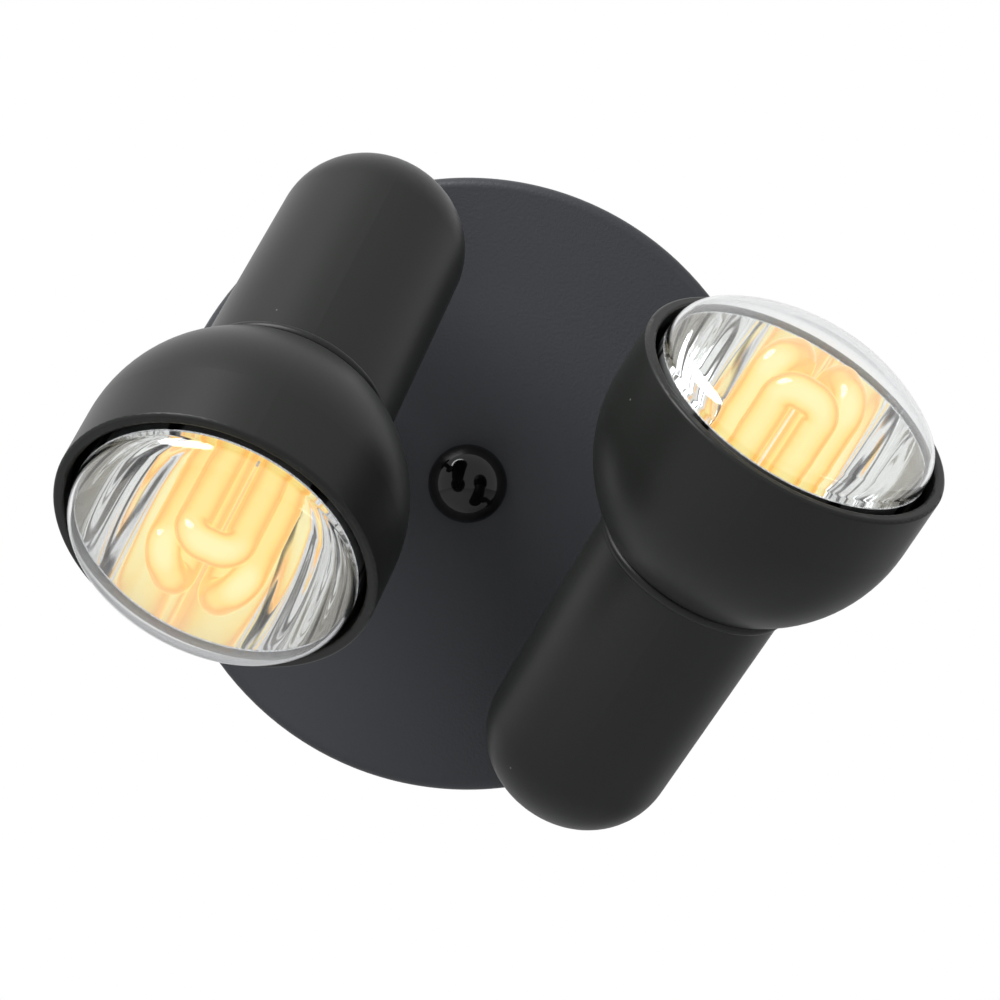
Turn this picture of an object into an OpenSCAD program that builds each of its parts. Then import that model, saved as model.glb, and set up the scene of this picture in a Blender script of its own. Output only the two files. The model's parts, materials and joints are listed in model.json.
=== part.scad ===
// Two-head wall spotlight: a round backplate carries two swivels, and each swivel
// carries a one-piece lamp housing with a reflector lamp.
// +X is right and +Z is up as the light hangs on a wall, and -Y points into the room.
// The origin is the centre of the backplate's back, on the wall.
// Most parts are drawn in a plate frame with Z into the room, which in_row() turns.

/* [Backplate] */
// Diameter of the backplate
plate_d = 180; // [164:1:210]
// Depth of the backplate from the wall to its front
plate_depth = 20; // [20:1:30]
// Sheet thickness of the backplate
plate_wall = 1.2; // [0.8:0.1:2]
// Outside radius of the backplate's rolled edge
plate_edge_r = 3; // [2.2:0.1:6]

/* [Mounting bracket] */
// Width of the mounting bracket
bracket_w = 20; // [18:1:26]
// Thickness of the mounting bracket
bracket_t = 2; // [1.5:0.1:2.5]
// Clear height under the raised middle
bracket_rise = 5; // [4.5:0.1:6]
// Distance between the two wall screws
screw_spacing = 80; // [78:1:84]
// Overall length of each screw slot
slot_len = 16; // [10:1:18]
// Width of each screw slot
slot_w = 5; // [4:0.1:6]
// Metal past the outer end of each screw slot
slot_end = 10; // [8:0.5:13]
// Length of the bracket's raised middle
bracket_top_len = 48; // [48:1:52]
// Distance from the stud to the earth screw
earth_offset = 14; // [12:1:16]

/* [Centre fixing] */
// Diameter of the centre stud
stud_d = 6; // [5:0.5:6]
// Length of the stud that enters the cap nut
stud_in_cap = 8; // [6:0.5:9]
// Radius of the ball-shaped cap nut
cap_nut_r = 11.6; // [10.5:0.1:13]

/* [Swivels] */
// Sideways distance from the plate centre to a swivel
swivel_x = 45.5; // [43:0.5:48]
// Height of a swivel above or below the plate centre
swivel_y = 39.5; // [38:0.5:43]
// Height of the tilt pivot above the plate front
pivot_height = 26; // [26:0.5:30]
// Distance that the tilt pivot is cranked from the pan axis
pivot_crank = 3.5; // [2:0.5:5]
// Radius of each knuckle half
knuckle_r = 8.5; // [8:0.1:8.8]
// Thickness of each knuckle half
knuckle_w = 7.5; // [7.5:0.1:9]
// Sideways step between the stems of the two knuckle halves
stem_step = 5.3; // [4.8:0.1:5.5]
// Diameter of a knuckle stem
stem_d = 10; // [9:0.1:10]
// Diameter of the wire way through a knuckle
wire_way_d = 5; // [4:0.1:5.5]
// Diameter of the swivel's foot on the plate
foot_d = 24; // [20:1:28]
// Thickness of the swivel's foot on the plate
foot_t = 3.4; // [2.5:0.1:4.5]
// Thickness of the fibre washer under the foot
plate_washer_t = 0.8; // [0.5:0.1:1.2]
// Diameter of the tilt screw
tilt_screw_d = 4; // [3:0.1:4.5]
// Thickness of the friction washer between the knuckle halves
friction_washer_t = 0.4; // [0.3:0.1:0.6]
// Diameter of the threaded nipples
nipple_d = 10; // [9:0.5:10.5]
// Bore of the threaded nipples
nipple_bore = 6.6; // [5.6:0.1:7]
// Width across the flats of the nipple nuts
nipple_nut_af = 14; // [13:0.5:16]

/* [Head positions] */
// Direction that the left head points in, anticlockwise from right
left_azimuth = 245.4; // [238:0.1:252]
// Angle of the left head's axis out from the plate
left_tilt = 42.1; // [35:0.1:50]
// Direction that the right head points in, anticlockwise from right
right_azimuth = 58.5; // [52:0.1:65]
// Angle of the right head's axis out from the plate
right_tilt = 29.9; // [22:0.1:38]
// Distance from the tilt pivot to the head's axis
axis_offset = 40.1; // [39.5:0.1:44]
// Distance from the lampholder's rear forward to the tilt pivot
pivot_ahead = 9.6; // [8:0.1:11]

/* [Housing] */
// Gap between the lamp and the rim's lip, all round
rim_gap = 2.1; // [1.5:0.1:3]
// Length of the bowl's straight part behind the rim
bowl_straight = 19; // [16:0.5:22]
// Wall of the housing
housing_wall = 2.2; // [1.6:0.1:2.4]
// Radial thickness of the rim's lip
lip_t = 3.2; // [2.6:0.1:3.4]
// Length of the rim's lip
lip_len = 5; // [3:0.5:8]
// Radius on the lip's two edges
lip_r = 1; // [0.5:0.1:1.2]
// Radius of the neck next to the bowl
neck_r = 28.2; // [27.8:0.1:29]
// Radius that the neck loses toward its rounded end
neck_taper = 1.1; // [0:0.1:1.5]
// Radius of the neck's end corner
neck_corner_r = 23; // [18:0.5:24]
// Room for the wires between the lampholder and the neck's end
wire_room = 17.9; // [17:0.1:24]
// Radius of the bead where the neck leaves the bowl
bead_r = 1.6; // [1.2:0.1:2]
// Height of the bead above the neck
bead_h = 1; // [0.6:0.1:1.2]
// Distance that the bead runs into the bowl
groove_d = 0.5; // [0.2:0.1:0.8]
// Height of the swivel seat above the neck
seat_h = 0.8; // [0.5:0.1:1.2]

/* [Lampholder] */
// Distance from the screw cap's front back to the lampholder
holder_set_back = 2; // [0.5:0.5:3]
// Radius of the lampholder's front skirt
holder_skirt_r = 19.5; // [18.5:0.1:20]
// Wall of the lampholder round its screw shell
holder_wall = 1.4; // [1.2:0.1:2.3]
// Thickness of the lampholder's floor, behind the centre contact
holder_floor_t = 6; // [5.5:0.5:7]
// Room between the lamp's tip and the lampholder's floor
contact_room = 4; // [3.5:0.5:5]
// Wall of the brass screw shell
shell_wall = 0.6; // [0.4:0.1:0.7]
// Thickness of the lampholder strap
strap_t = 1.2; // [0.8:0.1:1.5]
// Width of the lampholder strap
strap_w = 15; // [14:0.5:15.5]

/* [Lamp] */
// Largest radius of the lamp
lamp_r = 40; // [38.5:0.1:40.5]
// Distance that the lamp's dome stands out of the rim
lamp_proud = 8; // [5:0.5:11]
// Radius of the dome of the front glass
dome_r = 62; // [58:1:70]
// Radius of the front glass's shoulder
shoulder_r = 7; // [5:0.5:9]
// Wall of the lamp's glass
glass_wall = 1.2; // [0.8:0.1:1.5]
// Straight skirt of the front glass, behind its shoulder
glass_skirt = 2; // [1:0.5:4]
// Length of the reflector
reflector_len = 46; // [43:0.5:48]
// Outside radius of the reflector's rear
reflector_rear_r = 21; // [20:0.1:22]
// Diameter of the lamp's tubes
tube_d = 9.5; // [8.5:0.1:10]
// Distance between the two legs of a bent tube
tube_pitch = 13; // [12:0.1:14]
// Distance from the lamp's axis to the plane of a bent tube
tube_plane = 10; // [9.8:0.1:11]
// Distance from the dome's tip back to the tubes
tube_set_back = 7; // [6:0.5:8]
// Radius of the lamp's screw cap
cap_r = 13.3; // [12.8:0.1:13.4]
// Length of the collar behind the reflector
collar_len = 15; // [13:0.5:17]
// Length of the cone between the collar and the screw cap
cone_len = 11; // [9:0.5:13]
// Length of the screw cap with its contact
cap_len = 27; // [26:0.5:28]

/* [Terminal block] */
// Length of the terminal block
block_l = 30; // [27:1:34]
// Width of the terminal block
block_w = 16; // [13:0.5:16]
// Room between the terminal block and the backplate
block_room = 0.8; // [0.5:0.1:2]

/* [Hidden] */
$fn = 96;
eps = 0.01;
// Run of a hole or cut past the faces that it opens
over = 1;
// Clearance of a screw in its nut or tapped hole, on the radius
thread_gap = 0.05;
// Clearance of a turning pin in its hole, on the radius
pin_gap = 0.05;
// Clearance between flat faces that slide on each other
slide_gap = 0.1;
// Clearance of a screw or nipple in a plain hole, on the radius
hole_gap = 0.2;
// Clearance of the lamp's cap in the screw shell, on the radius
cap_gap = 0.3;

// Widening of a 45 degree bend's outer corner
mitre = bracket_t * tan(22.5);
bracket_len = screw_spacing + slot_len + 2 * slot_end;
// Head of a small slotted screw, as a multiple of its thread
head_ratio = 1.7;
stud_head_h = 4;
stud_nut_h = 5;
stud_af = 10;
// Room past the stud's end in the cap nut
cap_nut_tip = 0.5;
earth_d = 4;
earth_head_h = 2.6;
earth_head_ratio = 2;
// Room between the earth screw's tip and the wall
earth_to_wall = 1;
bracket_top = bracket_rise + bracket_t;
block_h = plate_depth - plate_wall - bracket_top - block_room;
block_screw_d = 3;
block_screw_head_h = 1.8;
block_head_ratio = 1.6;
// Length that a block screw stands out below the bracket
block_screw_out = 1;
block_to_stud = 1.6;
block_x = -stud_af / 2 / cos(30) - block_w / 2 - block_to_stud;
poles = 3;
pole_pitch = block_l / poles;
insert_r = 2.6;
insert_bore = 1.6;
insert_inset = 1.5;
clamp_screw_d = 2.5;
clamp_screw_x = 4;
clamp_screw_len = 3.6;
// Distance that a clamp screw stands into its insert's bore
clamp_reach = 0.5;
// Least plastic round the block's metal, and round the holes for a screwdriver
block_skin = 0.5;
clamp_hole_r = clamp_screw_d / 2 + 0.5;
block_deck = block_h / 2 + insert_r + block_skin;
chimney_w = 2 * (clamp_hole_r + block_skin);
chimney_inset = 1;
// Length that a screw or nipple stands out of its nut
thread_out = 1.2;
nipple_nut_h = 3.5;
spring_washer_t = 1;
spring_washer_rim = 2;
spring_washer_r = nipple_nut_af / 2 + spring_washer_rim;
nipple_in = foot_t;
nipple_out = plate_wall + slide_gap + spring_washer_t + nipple_nut_h + thread_out;
// Radii where a foot sweeps up into its stem, and on the edge of a foot
base_sweep = 3;
head_sweep = 2;
foot_edge_r = 1;
knuckle_edge = 1;
// Walls round the hollow of each knuckle half, which the wires pass through
knuckle_rim = 2.2;
knuckle_floor = 2.5;
chamber_r = knuckle_r - knuckle_rim;
chamber_d = knuckle_w - knuckle_floor;
washer_inset = 0.4;
knuckle_gap = friction_washer_t + 2 * slide_gap;
// Places of the knuckle faces, sideways from the pan axis
base_inner = (stem_step - knuckle_gap) / 2;
base_outer = base_inner - knuckle_w;
head_inner = base_inner + knuckle_gap;
head_outer = head_inner + knuckle_w;
// Sweep that each knuckle half leaves free for the other
sweep_gap = 0.3;
knuckle_sweep_r = knuckle_r + sweep_gap;
tilt_nut_af = 7;
tilt_nut_h = 3.2;
tilt_head_d = 7.4;
tilt_head_h = 2.6;

// Stations along a head's axis, measured back from the rim
lamp_front = -lamp_proud;
tube_front = lamp_front + tube_set_back;
dome_centre = lamp_front + dome_r;
shoulder_x = lamp_r - shoulder_r;
shoulder_z = dome_centre - sqrt(pow(dome_r - shoulder_r, 2) - shoulder_x * shoulder_x);
glass_joint = shoulder_z + glass_skirt;
reflector_rear = glass_joint + reflector_len;
collar_end = reflector_rear + collar_len;
cap_front = collar_end + cone_len;
cap_tip = cap_front + cap_len;
holder_front = cap_front + holder_set_back;
contact_floor = cap_tip + contact_room;
holder_rear = contact_floor + holder_floor_t;
holder_nut_h = 3;
holder_stub_end = holder_rear + strap_t + holder_nut_h + thread_out;
housing_len = holder_stub_end + wire_room + housing_wall;
pivot_station = holder_rear - pivot_ahead;

// Outside radius of the bowl, which follows the lamp
bowl_r = lamp_r + rim_gap + lip_t;
neck_front = bowl_straight + sqrt(bowl_r * bowl_r - neck_r * neck_r);
neck_end_r = neck_r - neck_taper;
neck_end = housing_len - neck_corner_r;
neck_slope = (neck_r - neck_end_r) / (neck_end - neck_front);
neck_r_at_pivot = neck_r - neck_slope * (pivot_station - neck_front);
seat_plane = neck_r_at_pivot + seat_h;
seat_step = 1.5;
seat_d = foot_d - 2 * seat_step;
// Depth to which seat and pad are sunk into the neck's wall
wall_bite = 0.3;
// Thickness of the swivel's foot on the neck
head_foot_t = axis_offset - knuckle_sweep_r - seat_plane - hole_gap;
inner_r_at_pivot = neck_r_at_pivot - housing_wall;
// Flat pad inside the neck, which the strap lies on
pad_margin = 0.5;
pad_run = 5;
pad_w = strap_w + 2 * pad_margin;
pad_len = strap_w + 2 * pad_run;
pad_plane = sqrt(inner_r_at_pivot * inner_r_at_pivot - pad_w * pad_w / 4) - wall_bite;
head_nut_h = 2.8;
spigot_end = pad_plane - strap_t - head_nut_h - thread_out / 2;
strap_bend = 2 * strap_t;

skirt_len = 13;
skirt_taper = 4;
holder_edge = 1.5;
holder_step = holder_front + skirt_len;
shell_r_in = cap_r + cap_gap;
shell_r_out = shell_r_in + shell_wall;
holder_rear_r = shell_r_out + holder_wall;
shell_set_back = 2;
shell_ledge = 2;
shell_past_step = 10;
shell_end = holder_step + shell_past_step;
contact_t = 0.8;
contact_post_r = 1.6;
contact_foot_r = 10;
terminal_y = 11;
terminal_d = 3;
terminal_floor = 1;
terminal_len = holder_floor_t - terminal_floor;
terminal_head_h = 2;

tube_plate_t = 4;
tube_plate_z = reflector_rear - tube_plate_t;
collar_step = 0.6;
collar_r = reflector_rear_r + collar_step;
cap_wall = 0.5;
cap_inner_r = cap_r - cap_wall;
// Cone at the cap's end, and the part of the lamp's base that enters the cap
cap_cone = 3;
cap_plug = 8;
cap_insulator_h = 2.5;
cap_contact_r = 4.5;
cap_contact_h = 1.5;
cap_contact_taper = 1;
cap_shell_end = cap_tip - cap_contact_h - cap_insulator_h;
tubes = 3;
bend_z = tube_front + tube_d / 2 + tube_pitch / 2;

function sign_of(side) = side == "left" ? 1 : -1;
function azimuth_of(side) = side == "left" ? left_azimuth : right_azimuth;
function tilt_of(side) = side == "left" ? left_tilt : right_tilt;
// The right swivel is turned half round, so its head points back over its crank
function turn_of(side) = side == "left" ? 0 : 180;

// Plate frame to the part's own frame
module in_row() rotate([90, 0, 0]) children();

// Frame of a swivel: origin on the plate front at the pan axis
module at_swivel(side)
    in_row()
        translate([-sign_of(side) * swivel_x, sign_of(side) * swivel_y, plate_depth])
            rotate([0, 0, azimuth_of(side) + turn_of(side)])
                children();

// Frame of a head: origin on the tilt pivot, X along the beam, Z away from the plate
module at_head(side)
    at_swivel(side)
        translate([pivot_crank, stem_step, pivot_height])
            rotate([0, 0, turn_of(side)])
                rotate([0, -tilt_of(side), 0])
                    children();

// Frame of the head's knuckle, which always faces the base's knuckle
module at_head_knuckle(side) at_head(side) rotate([0, 0, turn_of(side)]) children();

// Frame of a head's turned parts: Z runs back from the rim along the head's axis
module on_axis(side)
    at_head(side) translate([pivot_station, 0, axis_offset]) rotate([0, -90, 0]) children();

// Hexagon across flats, with a round hole
module hex_ring(af, bore_r, h)
    linear_extrude(h)
        difference() {
            circle(r = af / 2 / cos(30), $fn = 6);
            circle(r = bore_r);
        }

module ring(r_out, r_in, h)
    linear_extrude(h)
        difference() {
            circle(r = r_out);
            circle(r = r_in);
        }

// Half section of a round tray with a rolled edge
module tray_section(r, depth, edge_r) {
    square([r - edge_r, depth]);
    square([r, depth - edge_r]);
    translate([r - edge_r, depth - edge_r]) intersection() {
        circle(r = edge_r);
        square(edge_r);
    }
}

module backplate()
    color("#23262c") in_row() difference() {
        rotate_extrude() difference() {
            tray_section(plate_d / 2, plate_depth, plate_edge_r);
            translate([0, -eps])
                tray_section(plate_d / 2 - plate_wall, plate_depth - plate_wall + eps,
                             plate_edge_r - plate_wall);
        }
        for (s = [-1, 1])
            translate([-s * swivel_x, s * swivel_y, plate_depth - plate_wall - over])
                cylinder(r = nipple_d / 2 + hole_gap, h = plate_wall + 2 * over);
        translate([0, 0, plate_depth - plate_wall - over])
            cylinder(r = stud_d / 2 + hole_gap, h = plate_wall + 2 * over);
    }

// Side view of the bracket: two feet on the wall and a raised middle
module bracket_profile() {
    half = bracket_top_len / 2;
    foot_in = half + bracket_rise;
    right = [[half, bracket_rise], [foot_in, 0], [bracket_len / 2, 0], [bracket_len / 2, bracket_t],
             [foot_in + mitre, bracket_t], [half + mitre, bracket_top]];
    left = [for (i = [len(right) - 1:-1:0]) [-right[i][0], right[i][1]]];
    polygon(concat(right, left));
}

// Slot with round ends, along X
module slot(len, w) {
    square([len - w, w], center = true);
    for (s = [-1, 1]) translate([s * (len - w) / 2, 0]) circle(r = w / 2);
}

module mounting_bracket()
    color("#b9bbb6") in_row() difference() {
        rotate([90, 0, 0]) linear_extrude(bracket_w, center = true) bracket_profile();
        for (s = [-1, 1])
            translate([s * screw_spacing / 2, 0, -over])
                linear_extrude(bracket_t + 2 * over) slot(slot_len, slot_w);
        translate([0, 0, bracket_rise - over]) {
            cylinder(r = stud_d / 2 + hole_gap, h = bracket_t + 2 * over);
            translate([earth_offset, 0, 0]) cylinder(r = earth_d / 2 + thread_gap, h = bracket_t + 2 * over);
            for (s = [-1, 1]) translate([block_x, s * pole_pitch / 2, 0])
                cylinder(r = block_screw_d / 2 + thread_gap, h = bracket_t + 2 * over);
        }
    }

module centre_stud()
    color("#c6c8c4") in_row() {
        translate([0, 0, bracket_rise - stud_head_h]) hex_ring(stud_af, 0, stud_head_h);
        translate([0, 0, bracket_rise - over])
            cylinder(r = stud_d / 2, h = plate_depth + stud_in_cap - bracket_rise + over);
    }

module stud_nut()
    color("#c6c8c4") in_row()
        translate([0, 0, bracket_top]) hex_ring(stud_af, stud_d / 2 + thread_gap, stud_nut_h);

module cap_nut()
    color("#0c0c0e") in_row() translate([0, 0, plate_depth]) difference() {
        rotate_extrude() intersection() {
            circle(r = cap_nut_r);
            square(cap_nut_r);
        }
        translate([0, 0, -over]) cylinder(r = stud_d / 2 + thread_gap, h = stud_in_cap + cap_nut_tip + over);
    }

// Screw that points down: its head stands on Z = 0, and its slot is half as deep as the head
module slotted_screw(d, len, head_d, head_h)
    difference() {
        union() {
            translate([0, 0, -len]) cylinder(r = d / 2, h = len + eps);
            rotate_extrude() {
                square([head_d / 2 - head_h / 3, head_h]);
                square([head_d / 2, head_h * 2 / 3]);
                translate([head_d / 2 - head_h / 3, head_h * 2 / 3]) circle(r = head_h / 3);
            }
        }
        translate([0, 0, head_h]) cube([head_d + 2 * over, head_d / 7, head_h], center = true);
    }

module earth_screw()
    color("#c9a24a") in_row() translate([earth_offset, 0, bracket_top]) {
        slotted_screw(earth_d, bracket_top - earth_to_wall, earth_head_ratio * earth_d, earth_head_h);
    }

// Terminal block of three poles on the bracket, with its clamp screws facing the plate
module terminal_block()
    color("#e9e6da") in_row() translate([block_x, 0, bracket_top]) difference() {
        union() {
            translate([-block_w / 2, -block_l / 2, 0]) cube([block_w, block_l, block_deck]);
            for (i = [0:poles - 1])
                translate([-block_w / 2 + chimney_inset, pole_y(i) - chimney_w / 2, 0])
                    cube([block_w - 2 * chimney_inset, chimney_w, block_h]);
        }
        for (i = [0:poles - 1]) translate([0, pole_y(i), block_h / 2]) {
            rotate([0, 90, 0]) cylinder(r = insert_r, h = block_w + 2 * over, center = true);
            for (s = [-1, 1]) translate([s * clamp_screw_x, 0, 0])
                cylinder(r = clamp_hole_r, h = block_h);
        }
        for (s = [-1, 1]) translate([0, s * pole_pitch / 2, -over])
            cylinder(r = block_screw_d / 2 + hole_gap, h = block_h + 2 * over);
    }

module block_screws()
    color("#c6c8c4") in_row()
        for (s = [-1, 1]) translate([block_x, s * pole_pitch / 2, bracket_top + block_deck])
            slotted_screw(block_screw_d, block_deck + bracket_t + block_screw_out,
                          block_head_ratio * block_screw_d, block_screw_head_h);

function pole_y(i) = (i - (poles - 1) / 2) * pole_pitch;

module terminal_inserts()
    color("#c9a24a") in_row() translate([block_x, 0, bracket_top + block_h / 2])
        for (i = [0:poles - 1]) translate([0, pole_y(i), 0]) difference() {
            rotate([0, 90, 0]) cylinder(r = insert_r, h = block_w - 2 * insert_inset, center = true);
            rotate([0, 90, 0]) cylinder(r = insert_bore, h = block_w, center = true);
            for (s = [-1, 1]) translate([s * clamp_screw_x, 0, 0])
                cylinder(r = clamp_screw_d / 2 + thread_gap, h = insert_r + over);
        }

module terminal_screws()
    color("#c6c8c4") in_row() translate([block_x, 0, bracket_top + block_h / 2])
        for (i = [0:poles - 1]) for (s = [-1, 1])
            translate([s * clamp_screw_x, pole_y(i), insert_bore - clamp_reach])
                cylinder(r = clamp_screw_d / 2, h = clamp_screw_len);

module plate_washers()
    color("#8a3b22") in_row()
        for (s = [-1, 1]) translate([s * swivel_x, -s * swivel_y, plate_depth])
            ring(foot_d / 2, nipple_d / 2 + hole_gap, plate_washer_t - slide_gap);

// Cylinder along Y, from y0 to y1
module across(r, y0, y1) translate([0, y0, 0]) rotate([-90, 0, 0]) cylinder(r = r, h = y1 - y0);

// Round foot that sweeps up into a stem of radius r
module foot_solid(d, t, r, sweep) rotate_extrude() {
    square([d / 2 - foot_edge_r, t]);
    square([d / 2, t - foot_edge_r]);
    translate([d / 2 - foot_edge_r, t - foot_edge_r]) intersection() {
        circle(r = foot_edge_r);
        square(foot_edge_r);
    }
    difference() {
        square([r + sweep, t + sweep]);
        translate([r + sweep, t + sweep]) circle(r = sweep);
    }
}

// Disc of a knuckle half: its flat face is at y, and its round edge looks away
module knuckle_disc(y, away)
    translate([0, y, 0]) rotate([away > 0 ? -90 : 90, 0, 0]) rotate_extrude()
        polygon([[0, 0], [knuckle_r, 0], [knuckle_r, knuckle_w - knuckle_edge],
                 [knuckle_r - knuckle_edge, knuckle_w], [0, knuckle_w]]);

// Hollow of a knuckle half, open at its flat face
module knuckle_chamber(y, away)
    across(chamber_r, min(y - away, y + away * chamber_d), max(y - away, y + away * chamber_d));

// Lower half of the swivel: a foot on the plate, a stem and a hollow knuckle disc
module swivel_base(side)
    color("#17181a") at_swivel(side) difference() {
        union() {
            translate([0, 0, plate_washer_t]) {
                foot_solid(foot_d, foot_t, stem_d / 2, base_sweep);
                cylinder(r = stem_d / 2, h = pivot_height - stem_d / 2 - plate_washer_t);
            }
            translate([0, 0, pivot_height - stem_d / 2]) sphere(r = stem_d / 2);
            translate([pivot_crank, 0, pivot_height]) knuckle_disc(base_inner, -1);
        }
        translate([pivot_crank, 0, pivot_height]) {
            across(knuckle_sweep_r, base_inner, base_inner + stem_d);
            knuckle_chamber(base_inner, -1);
            across(tilt_screw_d / 2 + pin_gap, base_outer - over, base_inner);
        }
        translate([0, 0, plate_washer_t]) {
            translate([0, 0, -over]) cylinder(r = nipple_d / 2 + thread_gap, h = nipple_in + over);
            cylinder(r = wire_way_d / 2, h = pivot_height - plate_washer_t);
        }
    }

module nipple(side)
    color("#b08d3c") at_swivel(side) translate([0, 0, -nipple_out])
        ring(nipple_d / 2, nipple_bore / 2, nipple_out + plate_washer_t + nipple_in - slide_gap);

module spring_washer(side)
    color("#a8aaa6") at_swivel(side) translate([0, 0, -plate_wall - slide_gap - spring_washer_t])
        ring(spring_washer_r, nipple_d / 2 + hole_gap, spring_washer_t);

module nipple_nut(side)
    color("#b9bbb6") at_swivel(side)
        translate([0, 0, -plate_wall - slide_gap - spring_washer_t - nipple_nut_h])
            hex_ring(nipple_nut_af, nipple_d / 2 + thread_gap, nipple_nut_h);

// Screw along the tilt axis, with its head on the base's knuckle
module tilt_screw(side)
    color("#2a2a2c") at_swivel(side) translate([pivot_crank, base_outer, pivot_height])
        rotate([90, 0, 0])
            slotted_screw(tilt_screw_d, head_outer - base_outer + tilt_nut_h + thread_out,
                          tilt_head_d, tilt_head_h);

module tilt_nut(side)
    color("#b9bbb6") at_swivel(side) translate([pivot_crank, head_outer + slide_gap, pivot_height])
        rotate([-90, 0, 0]) hex_ring(tilt_nut_af, tilt_screw_d / 2 + thread_gap, tilt_nut_h);

module friction_washer(side)
    color("#8a3b22") at_swivel(side) translate([pivot_crank, base_inner + slide_gap, pivot_height])
        rotate([-90, 0, 0]) ring(knuckle_r - washer_inset, chamber_r, friction_washer_t);

// Upper half of the swivel: a knuckle disc, a foot on the neck and a threaded spigot
module head_knuckle(side) {
    inner = head_inner - stem_step;
    outer = inner + knuckle_w;
    seat_z = axis_offset - seat_plane;
    color("#17181a") at_head_knuckle(side) difference() {
        union() {
            knuckle_disc(inner, 1);
            translate([0, 0, stem_d / 2]) {
                cylinder(r = stem_d / 2, h = seat_z - stem_d / 2);
                sphere(r = stem_d / 2);
            }
            translate([0, 0, seat_z]) mirror([0, 0, 1])
                foot_solid(seat_d, head_foot_t, stem_d / 2, head_sweep);
            translate([0, 0, seat_z - eps]) cylinder(r = nipple_d / 2, h = seat_plane - spigot_end + eps);
        }
        across(knuckle_sweep_r, inner - stem_d, inner);
        knuckle_chamber(inner, 1);
        across(tilt_screw_d / 2 + pin_gap, inner, outer + over);
        cylinder(r = wire_way_d / 2, h = axis_offset);
        translate([0, 0, seat_z]) cylinder(r = nipple_bore / 2, h = axis_offset);
    }
}

// Place on the swivel side of the neck: Z points from the head's axis to the swivel
module at_seat(side)
    on_axis(side) translate([0, 0, pivot_station]) rotate([0, -90, 0]) children();

module head_nut(side)
    color("#b9bbb6") at_seat(side) translate([0, 0, pad_plane - strap_t - head_nut_h])
        hex_ring(nipple_nut_af, nipple_d / 2 + thread_gap, head_nut_h);

// Half section of the housing's outside, inset by w for its inside
module housing_section(w) {
    square([bowl_r - w, bowl_straight]);
    translate([0, bowl_straight]) intersection() {
        circle(r = bowl_r - w);
        square(bowl_r);
    }
    polygon([[0, bowl_straight],
             [neck_r - w + neck_slope * bowl_straight / 2, neck_front - bowl_straight / 2],
             [neck_end_r - w, neck_end], [0, neck_end]]);
    translate([neck_end_r - neck_corner_r, neck_end]) intersection() {
        circle(r = neck_corner_r - w);
        square(neck_corner_r);
    }
    translate([0, neck_end]) square([neck_end_r - neck_corner_r + eps, neck_corner_r - w]);
}

// Half section of the rim's rounded lip
module lip_section() {
    translate([bowl_r - lip_t + lip_r, 0]) square([lip_t - 2 * lip_r, lip_len]);
    translate([bowl_r - lip_t, lip_r]) square([lip_t - lip_r, lip_len - lip_r]);
    translate([bowl_r - lip_t + lip_r, lip_r]) circle(r = lip_r);
    translate([bowl_r - lip_r, lip_r]) circle(r = lip_r);
}

// Half section of the housing's wall, with the bead where the neck leaves the bowl
module wall_section() difference() {
    union() {
        translate([0, lip_r]) square([bowl_r, bowl_straight - lip_r]);
        difference() {
            housing_section(0);
            square([bowl_r + over, bowl_straight]);
        }
        translate([neck_r - bead_r + bead_h, neck_front + bead_r - groove_d]) circle(r = bead_r);
    }
    translate([0, -eps]) housing_section(housing_wall);
}

// One-piece bowl and neck, open at the rim and closed at the neck's rounded end
module housing(side)
    color("#151614") difference() {
        union() {
            on_axis(side) rotate_extrude() {
                wall_section();
                lip_section();
            }
            at_seat(side) {
                translate([0, 0, inner_r_at_pivot - wall_bite])
                    cylinder(r = seat_d / 2, h = seat_plane - inner_r_at_pivot + wall_bite);
                translate([-pad_len / 2, -pad_w / 2, pad_plane])
                    cube([pad_len, pad_w, inner_r_at_pivot + wall_bite - pad_plane]);
            }
        }
        at_seat(side) cylinder(r = nipple_d / 2 + hole_gap, h = seat_plane + over);
    }

// Strap that holds the lampholder: one leg under the head nut, one across the neck
module holder_strap(side) {
    corner_z = holder_rear + strap_t - strap_bend;
    color("#c6c8c4") on_axis(side) difference() {
        union() {
            rotate([90, 0, 0]) linear_extrude(strap_w, center = true) {
                translate([-pad_plane, pivot_station]) square([strap_t, corner_z - pivot_station]);
                translate([-pad_plane + strap_bend, holder_rear]) square([pad_plane - strap_bend, strap_t]);
                translate([-pad_plane + strap_bend, corner_z]) difference() {
                    intersection() {
                        circle(r = strap_bend);
                        translate([-strap_bend, 0]) square(strap_bend);
                    }
                    circle(r = strap_bend - strap_t);
                }
            }
            translate([-pad_plane, 0, pivot_station])
                rotate([0, 90, 0]) cylinder(r = strap_w / 2, h = strap_t);
            translate([0, 0, holder_rear]) cylinder(r = strap_w / 2, h = strap_t);
        }
        translate([-pad_plane - over, 0, pivot_station]) rotate([0, 90, 0])
            cylinder(r = nipple_d / 2 + hole_gap, h = strap_t + 2 * over);
        translate([0, 0, holder_rear - over])
            cylinder(r = nipple_d / 2 + hole_gap, h = strap_t + 2 * over);
    }
}

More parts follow.
